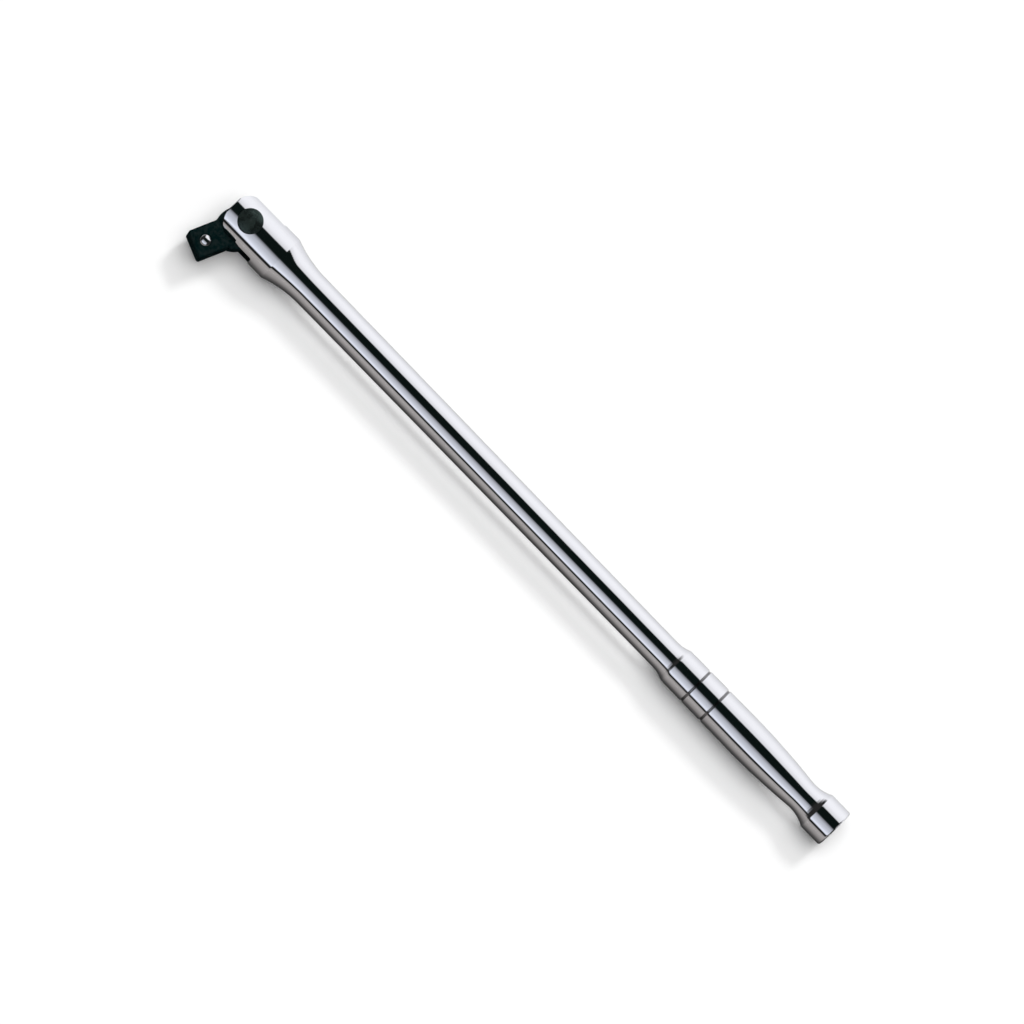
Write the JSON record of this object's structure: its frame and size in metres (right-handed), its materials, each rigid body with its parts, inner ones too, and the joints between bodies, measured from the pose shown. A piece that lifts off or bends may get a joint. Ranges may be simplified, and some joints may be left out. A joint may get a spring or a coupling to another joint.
{
  "type": "flex-head breaker bar",
  "caption": "Long chrome bar with a contoured grip and a forked end, in which a black square-drive head folds about a bolt.",
  "frame": {"origin": "centre of the handle's flat end face", "axes": "+X along the bar to the drive head, +Z along the pivot, out of the bolt's head, +Y to the side to which the head is bent"},
  "size_m": [0.3711, 0.0371, 0.0244],
  "materials": {
    "chrome_plate": "mirror-polished chrome plate on steel",
    "black_oxide": "black oxide, satin with an oil sheen",
    "black_bolt": "black oxide, turned and lightly polished",
    "polished_ball": "polished bearing steel",
    "spring_steel": "drawn spring wire",
    "washer_steel": "ground flat",
    "hardened_steel": "hardened and ground"
  },
  "bodies": {
    "handle": {"handle_bar": "chrome_plate", "pivot_bolt": "black_bolt", "pivot_nut": "black_bolt", "lock_washer": "spring_steel", "near_thrust_washer": "washer_steel", "far_thrust_washer": "washer_steel", "plunger_spring": "spring_steel"},
    "drive_head": {"drive_tang": "black_oxide", "detent_spring": "spring_steel"},
    "ball": {"detent_ball": "polished_ball"},
    "plunger": {"friction_plunger": "hardened_steel"}
  },
  "joints": [
    {"name": "head_pivot", "type": "hinge", "parent": "handle", "child": "drive_head", "pos_m": [0.356, 0, 0], "axis": [0, 0, 1], "range_deg": [-163, 27]},
    {"name": "detent_ball_press", "type": "slide", "parent": "drive_head", "child": "ball", "axis": [0, 0, 1], "range_m": [-0.0012, 0], "stiffness_N_per_m": 2500, "springref_m": 0.002, "deforming": ["detent_spring"]},
    {"name": "plunger_follow", "type": "slide", "parent": "handle", "child": "plunger", "axis": [1, 0, 0], "range_m": [-0.0008, 0], "stiffness_N_per_m": 4000, "springref_m": 0.003, "deforming": ["plunger_spring"]}
  ]
}
